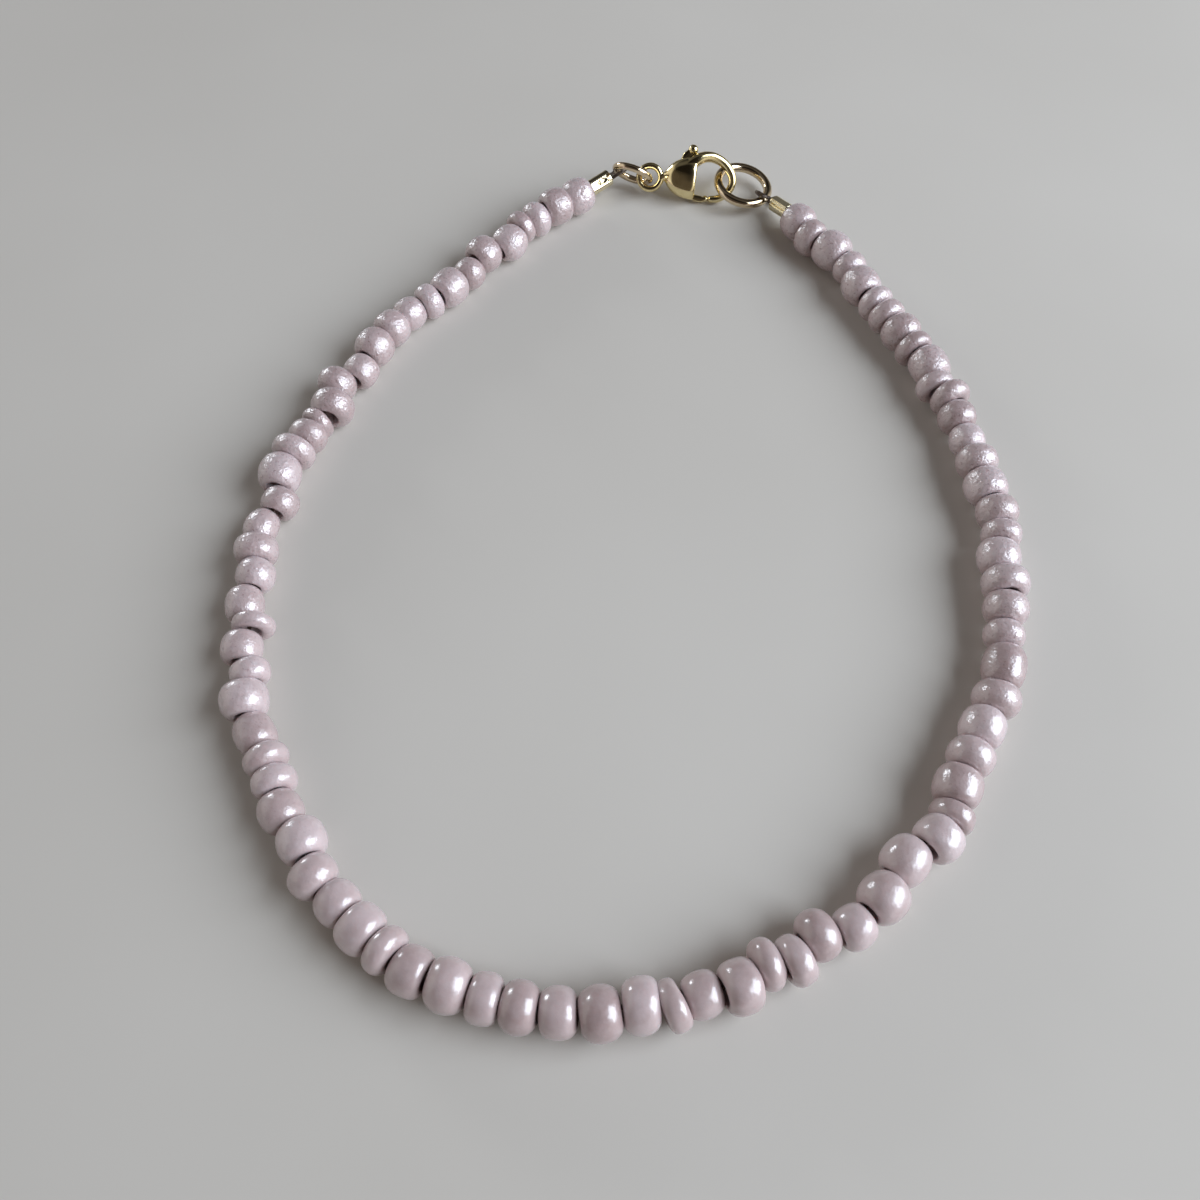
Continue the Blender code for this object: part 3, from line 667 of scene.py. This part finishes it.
# Along, middle, half height, half thickness (shares of the length, height, height, thickness)
BODY_SECTIONS = [(-0.08, -0.010, 0.060, 0.10), (0.04, -0.015, 0.105, 0.15), (0.15, -0.038, 0.224, 0.26),
                 (0.30, -0.042, 0.345, 0.37), (0.50, -0.045, 0.433, 0.45), (0.75, -0.048, 0.495, 0.50),
                 (0.94, -0.055, 0.512, 0.475), (1.00, -0.055, 0.482, 0.405)]
EYE_WIRE = 0.52 * mm
EYE_RADIUS = 0.89 * mm
EYE_MIDDLE = Vector((-1.06, -0.1135, 0)) * mm
HOOK_REACH = 3.05 * mm
HOOK_ROOT = 1.10 * mm
HOOK_WIRE = 0.66 * mm
HOOK_TIP = 0.56 * mm
HOOK_FLARE = 2.0 * mm  # thickness of the root, which runs out into the body's faces
HOOK_ROUTE = [(-0.20, 0.22), (0.0, 0.345), (0.20, 0.42), (0.44, 0.42), (0.68, 0.33), (0.87, 0.18),
              (0.98, 0.0), (1.0, -0.18), (0.90, -0.36), (0.74, -0.48), (0.56, -0.535), (0.43, -0.54)]
HOOK_FLARE_FULL = 1.22  # the flare starts full, and falls by the next value along the whole hook
HOOK_FLARE_FALL = 2.6
CAST_VOXEL = 0.032 * mm
CAST_POLISH = 14  # rounds
BODY_STEPS = 8  # from one section to the next
BODY_AROUND = 96
HOOK_STEPS = 6
HOOK_AROUND = 32
EYE_AROUND = 72
EYE_WIRE_AROUND = 24
PIVOT = (0.79, -0.375)
LEVER_THICK = 0.46 * mm
LEVER_GAP = 0.10 * mm
HUB_WIDTH = 0.60 * mm


def bar_faces(rows, around):
    """Faces over rows of points round a bar, closed at both of its ends."""
    faces = grid_faces(rows, around, False)
    faces.append(tuple(range(around))[::-1])
    faces.append(tuple(range((rows - 1) * around, rows * around)))
    return faces


def swept(name, centres, halves, thick_halves, beside_of, sides):
    """A bar along a flat line: half width and half thickness at each point, squarer where it is thick."""
    points = []
    for centre, half, thick, beside in zip(centres, halves, thick_halves, beside_of):
        squareness = 2 + 1.6 * min(1.0, thick / half - 1)
        for k in range(sides):
            angle = 2 * math.pi * k / sides
            points.append(centre + beside * (half * power(math.cos(angle), squareness))
                          + Vector((0, 0, thick * power(math.sin(angle), squareness))))
    return outward(mesh_of(name, points, bar_faces(len(centres), sides)))


def headings_of(route):
    """The heading at each point of a route."""
    last = len(route) - 1
    return [(route[min(i + 1, last)] - route[max(i - 1, 0)]).normalized() for i in range(len(route))]


def ball_form(name, place, width, around):
    """A ball that is joined to a casting."""
    ball = piece_of(name, bpy.data.meshes.new(name))
    bm = bmesh.new()
    bmesh.ops.create_uvsphere(bm, u_segments=around, v_segments=around // 2, radius=width / 2)
    bmesh.ops.translate(bm, verts=bm.verts, vec=place)
    bm.to_mesh(ball.data)
    bm.free()
    return ball


rows = [Vector(row) for row in BODY_SECTIONS]
profile = []
for before, start, end, after in zip([rows[0]] + rows, rows, rows[1:], rows[2:] + [rows[-1]]):
    for k in range(BODY_STEPS):
        t = k / BODY_STEPS
        profile.append(start.lerp(end, t) + (start * 2 - before - end) * (t * (1 - t) ** 2 / 2)
                       + (end * 2 - after - start) * ((1 - t) * t ** 2 / 2))
profile.append(rows[-1])
points = []
for along, middle, half_height, half_thick in profile:
    for k in range(BODY_AROUND):
        angle = 2 * math.pi * k / BODY_AROUND
        y = (middle + half_height * power(math.cos(angle), BODY_SQUARENESS)) * BODY_HEIGHT
        x = along * BODY_LENGTH + RIM_LEAN * y * max(0.0, along) ** 2
        points.append(Vector((x, y, half_thick * power(math.sin(angle), BODY_SQUARENESS) * BODY_THICK)))
body = piece_of("cast_clasp", outward(mesh_of("cast_clasp", points, bar_faces(len(profile), BODY_AROUND))))

hook_knots = [Vector((BODY_LENGTH + reach * HOOK_REACH, height * BODY_HEIGHT, 0))
              for reach, height in HOOK_ROUTE]
route = smooth(hook_knots, HOOK_STEPS)
halves, thick_halves = [], []
for i in range(len(route)):
    share = i / (len(route) - 1)
    half = (HOOK_ROOT * (1 - share) ** 3 + HOOK_WIRE * (1 - (1 - share) ** 3)) / 2
    halves.append(half + (HOOK_TIP - HOOK_WIRE) / 2 * share ** 3)
    flare = min(1.0, max(0.0, HOOK_FLARE_FULL - HOOK_FLARE_FALL * share))
    thick_halves.append(halves[-1] + (HOOK_FLARE - HOOK_ROOT) / 2 * flare ** 2 * (3 - 2 * flare))
beside_of = [Vector((-h.y, h.x, 0)) for h in headings_of(route)]
hook = piece_of("hook_form", swept("hook_form", route, halves, thick_halves, beside_of, HOOK_AROUND))
tip = ball_form("tip_form", route[-1], HOOK_TIP, HOOK_AROUND)
eye_points = []
for i in range(EYE_AROUND):
    turn = 2 * math.pi * i / EYE_AROUND
    for j in range(EYE_WIRE_AROUND):
        angle = 2 * math.pi * j / EYE_WIRE_AROUND
        reach = EYE_RADIUS + EYE_WIRE / 2 * math.cos(angle)
        eye_points.append(EYE_MIDDLE + Vector((reach * math.cos(turn), reach * math.sin(turn),
                                               EYE_WIRE / 2 * math.sin(angle))))
eye_faces = grid_faces(EYE_AROUND, EYE_WIRE_AROUND, True)
eye = piece_of("eye_form", outward(mesh_of("eye_form", eye_points, eye_faces)))


def combine(piece, other, operation):
    """Joins a form to a piece or cuts it away, once settle keeps the result."""
    change = piece.modifiers.new(other.name, "BOOLEAN")
    change.operation = operation
    change.solver = "EXACT"
    change.object = other


def settle(piece, *spent):
    """Keeps a piece as its modifiers leave it, and removes the forms that were used up."""
    evaluated = piece.evaluated_get(bpy.context.evaluated_depsgraph_get())
    mesh = bpy.data.meshes.new_from_object(evaluated)
    piece.modifiers.clear()
    piece.data = mesh
    for form in spent:
        bpy.data.objects.remove(form, do_unlink=True)
    return piece


def cast(piece, voxel, rounds):
    """Melts a piece's joins into one even skin, and softens it with this many rounds of polishing."""
    skin = piece.modifiers.new("cast", "REMESH")
    skin.mode = "VOXEL"
    skin.voxel_size = voxel
    polish = piece.modifiers.new("polish", "SMOOTH")
    polish.factor = 0.5
    polish.iterations = rounds
    settle(piece)


for form in (hook, tip, eye):
    combine(body, form, "UNION")
settle(body, hook, tip, eye)
cast(body, CAST_VOXEL, CAST_POLISH)


def plate(name, outline, thickness):
    """A flat plate of this outline, half of it on each side of the clasp's middle."""
    bm = bmesh.new()
    face = bm.faces.new([bm.verts.new((x, y, -thickness / 2)) for x, y in outline])
    grown = bmesh.ops.extrude_face_region(bm, geom=[face])["geom"]
    raised = [v for v in grown if isinstance(v, bmesh.types.BMVert)]
    bmesh.ops.translate(bm, verts=raised, vec=(0, 0, thickness))
    bmesh.ops.recalc_face_normals(bm, faces=bm.faces)
    mesh = bpy.data.meshes.new(name)
    bm.to_mesh(mesh)
    bm.free()
    return piece_of(name, mesh)


pivot = Vector((PIVOT[0] * BODY_LENGTH, PIVOT[1] * BODY_HEIGHT))
SLOT_TURN = math.radians(28)  # a little more than the lever's own turn
SLOT_HEIGHT = 1.3  # share of the body's height, well past its edge
SLOT_SPREAD = 0.06  # how much the shut side of the slot leans out, for its height
FIN_ROOM = 0.80 * mm
GATE_BEND = (0.945, -0.494)  # where the gate leaves the body: shares of its length and height
GATE_WIDTH = 0.46 * mm
SLOT_PAST_BODY = 0.2 * mm
turn = Matrix.Rotation(SLOT_TURN, 2)
room = HUB_WIDTH / 2 + LEVER_GAP
tall = BODY_HEIGHT * SLOT_HEIGHT
front = room + (tall - room) * SLOT_SPREAD
bend = Vector((GATE_BEND[0] * BODY_LENGTH, GATE_BEND[1] * BODY_HEIGHT)) - pivot
wide = BODY_LENGTH * (1 - PIVOT[0]) + SLOT_PAST_BODY
gate_high = turn @ Vector((wide, bend.y / bend.x * wide + GATE_WIDTH / 2 + LEVER_GAP))
stem_room = [Vector((room, -room)), Vector((front, tall)), turn @ Vector((-FIN_ROOM, tall)),
             turn @ Vector((-room, -room))]
gate_room = [Vector((-room, -room)), Vector((0, -tall)), Vector((wide, -tall)),
             Vector((wide, max(room, gate_high.y))), Vector((0, room))]
for name, outline in (("stem_slot", stem_room), ("gate_slot", gate_room)):
    slot = plate(name, [point + pivot for point in outline], LEVER_THICK + 2 * LEVER_GAP)
    combine(body, slot, "DIFFERENCE")
    settle(body, slot)
body.data.transform(clasp_place)
body.data.shade_smooth()
body.data.set_sharp_from_angle(angle=math.radians(38))
clasp_gold = gold_filled("clasp_gold", (0.85, 0.73, 0.42, 1), (0.64, 0.52, 0.26, 1), 0.11, 0.1)
body.data.materials.clear()
body.data.materials.append(clasp_gold)
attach(body, "bracelet")
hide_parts("clasp_body")

# Lever: one stamped and tumbled piece on a hidden pin. Its ball-ended trigger stands out of the body's
# top edge, and its other arm is the gate that closes the hook's mouth. A spring inside pushes it shut.
# Along, height (shares of the body's length and height) and width (mm), from the trigger to the gate
LEVER_STATIONS = [(0.885, 0.565, 0.64), (0.825, 0.49, 0.86), (0.745, 0.395, 1.00), (0.710, 0.25, 1.02),
                  (0.75, 0.0, 0.56), (0.79, -0.375, 0.60), (0.88, -0.46, 0.50), (0.945, -0.494, 0.50),
                  (1.06, -0.52, 0.54), (1.17, -0.536, 0.50), (1.23, -0.537, 0.40)]
GATE_BALL = (1.31, -0.530)
GATE_BALL_D = 0.52 * mm
KNOB_D = 0.80 * mm
KNOB_RISE = 0.12 * mm
GATE_END_WIDTH = 0.38 * mm
LEVER_STEPS = 8
LEVER_AROUND = 32
LEVER_SQUARENESS = 4.5
KNOB_AROUND = 48
LEVER_VOXEL = 0.024 * mm
LEVER_POLISH = 6  # rounds
knots = [Vector((x * BODY_LENGTH, y * BODY_HEIGHT, w * mm)) for x, y, w in LEVER_STATIONS]
knots.append(Vector((GATE_BALL[0] * BODY_LENGTH, GATE_BALL[1] * BODY_HEIGHT, GATE_END_WIDTH)))
route = smooth(knots, LEVER_STEPS)
flat = [Vector((p.x, p.y, 0)) for p in route]
points = []
for point, heading, centre in zip(route, headings_of(flat), flat):
    beside = Vector((-heading.y, heading.x, 0))
    for k in range(LEVER_AROUND):
        angle = 2 * math.pi * k / LEVER_AROUND
        points.append(centre + beside * (point.z / 2 * power(math.cos(angle), LEVER_SQUARENESS))
                      + Vector((0, 0, LEVER_THICK / 2 * power(math.sin(angle), LEVER_SQUARENESS))))
lever_faces = bar_faces(len(flat), LEVER_AROUND)
lever = piece_of("trigger_lever", outward(mesh_of("trigger_lever", points, lever_faces)))
stem_up = (flat[0] - flat[12]).normalized()
for name, place, width in (("knob_form", flat[0] + stem_up * KNOB_RISE, KNOB_D),
                           ("gate_ball_form", flat[-1], GATE_BALL_D)):
    ball = ball_form(name, place, width, KNOB_AROUND)
    combine(lever, ball, "UNION")
    settle(lever, ball)
cast(lever, LEVER_VOXEL, LEVER_POLISH)
lever.data.transform(clasp_place)
lever.data.shade_smooth()
lever.data.materials.clear()
lever.data.materials.append(clasp_gold)
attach(lever, "lever")
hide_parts("clasp_lever")

# Lever pin: a plain gold-filled rod that the lever turns on, hidden between the cheeks of the body.
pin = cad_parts["lever_pin"]
pin.data.materials.clear()
pin.data.materials.append(clasp_gold)

# Table: a plain pale sheet, warm grey, with a barely uneven matt surface.
TABLE_SIZE = 6.0


def table_finish():
    """Pale warm grey, matt, with a faint cloudiness."""
    finish, tree, shader = principled("pale_table")
    coords = add_node(tree, "ShaderNodeTexCoord").outputs["Object"]
    cloud = noise(tree, coords, scale=25, detail=3.0).outputs["Fac"]
    tree.links.new(ramp(tree, cloud, [(0.3, (0.585, 0.545, 0.495, 1)), (0.7, (0.62, 0.58, 0.53, 1))]),
                   shader.inputs["Base Color"])
    shader.inputs["Roughness"].default_value = 0.85
    return finish


bm = bmesh.new()
bmesh.ops.create_grid(bm, x_segments=1, y_segments=1, size=TABLE_SIZE / 2)
table_mesh = bpy.data.meshes.new("table")
bm.to_mesh(table_mesh)
bm.free()
table = piece_of("table", table_mesh)
table.data.materials.append(table_finish())

# Light: one large window-like softbox on the right, and a small low one at the back left for a second
# glint. The room's walls are pale, and it is dim overhead, behind and on the near side, where the
# viewer would stand, so that the polished metal has its dark bands.
OVERHEAD = (0.14, 0.02, 0.98)
BEHIND = (0.1, 1.0, 0.1)
NEAR_SIDE = (-0.26, -0.77, 0.58)
ROOM_STRENGTH = 1.2


def softbox(name, place, aim, width, height, watts, colour):
    """A soft rectangular light that looks at a place. Sizes in metres."""
    lamp = bpy.data.lights.new(name, "AREA")
    lamp.shape = "RECTANGLE"
    lamp.size = width
    lamp.size_y = height
    lamp.energy = watts
    lamp.color = colour
    lamp_object = bpy.data.objects.new(name, lamp)
    bpy.context.scene.collection.objects.link(lamp_object)
    lamp_object.location = place
    lamp_object.rotation_euler = (Vector(aim) - Vector(place)).to_track_quat("-Z", "Y").to_euler()


softbox("window", (0.385, -0.07, 0.265), (0, 0, 0), 0.42, 0.36, 3.35, (0.81, 0.895, 1.0))
softbox("far_window", (-0.30, 0.34, 0.10), (0, 0, 0), 0.09, 0.09, 0.44, (0.90, 0.95, 1.0))

world = bpy.data.worlds.new("room")
bpy.context.scene.world = world
world.use_nodes = True
tree = world.node_tree
ground = tree.nodes["Background"]
way = add_node(tree, "ShaderNodeTexCoord").outputs["Generated"]
overhead = add_node(tree, "ShaderNodeVectorMath", {0: way, 1: OVERHEAD}, operation="DOT_PRODUCT")
walls = ramp(tree, overhead.outputs["Value"],
             [(0.0, (0.74, 0.71, 0.69, 1)), (0.50, (0.70, 0.675, 0.66, 1)), (0.66, (0.085, 0.08, 0.078, 1))])
behind = add_node(tree, "ShaderNodeVectorMath", {0: way, 1: BEHIND}, operation="DOT_PRODUCT")
dim = ramp(tree, behind.outputs["Value"], [(0.35, (1, 1, 1, 1)), (0.75, (0.15, 0.15, 0.15, 1))])
far_dimmed = add_node(tree, "ShaderNodeMix", {"Factor": 1.0, 6: walls, 7: dim}, data_type="RGBA",
                      blend_type="MULTIPLY")
near = add_node(tree, "ShaderNodeVectorMath", {0: way, 1: NEAR_SIDE}, operation="DOT_PRODUCT")
shade = ramp(tree, near.outputs["Value"], [(0.64, (1, 1, 1, 1)), (0.76, (0.11, 0.095, 0.085, 1))])
room = add_node(tree, "ShaderNodeMix", {"Factor": 1.0, 6: far_dimmed.outputs[2], 7: shade}, data_type="RGBA",
                blend_type="MULTIPLY")
tree.links.new(room.outputs[2], ground.inputs["Color"])
ground.inputs["Strength"].default_value = ROOM_STRENGTH

bpy.context.scene.view_settings.view_transform = "Standard"
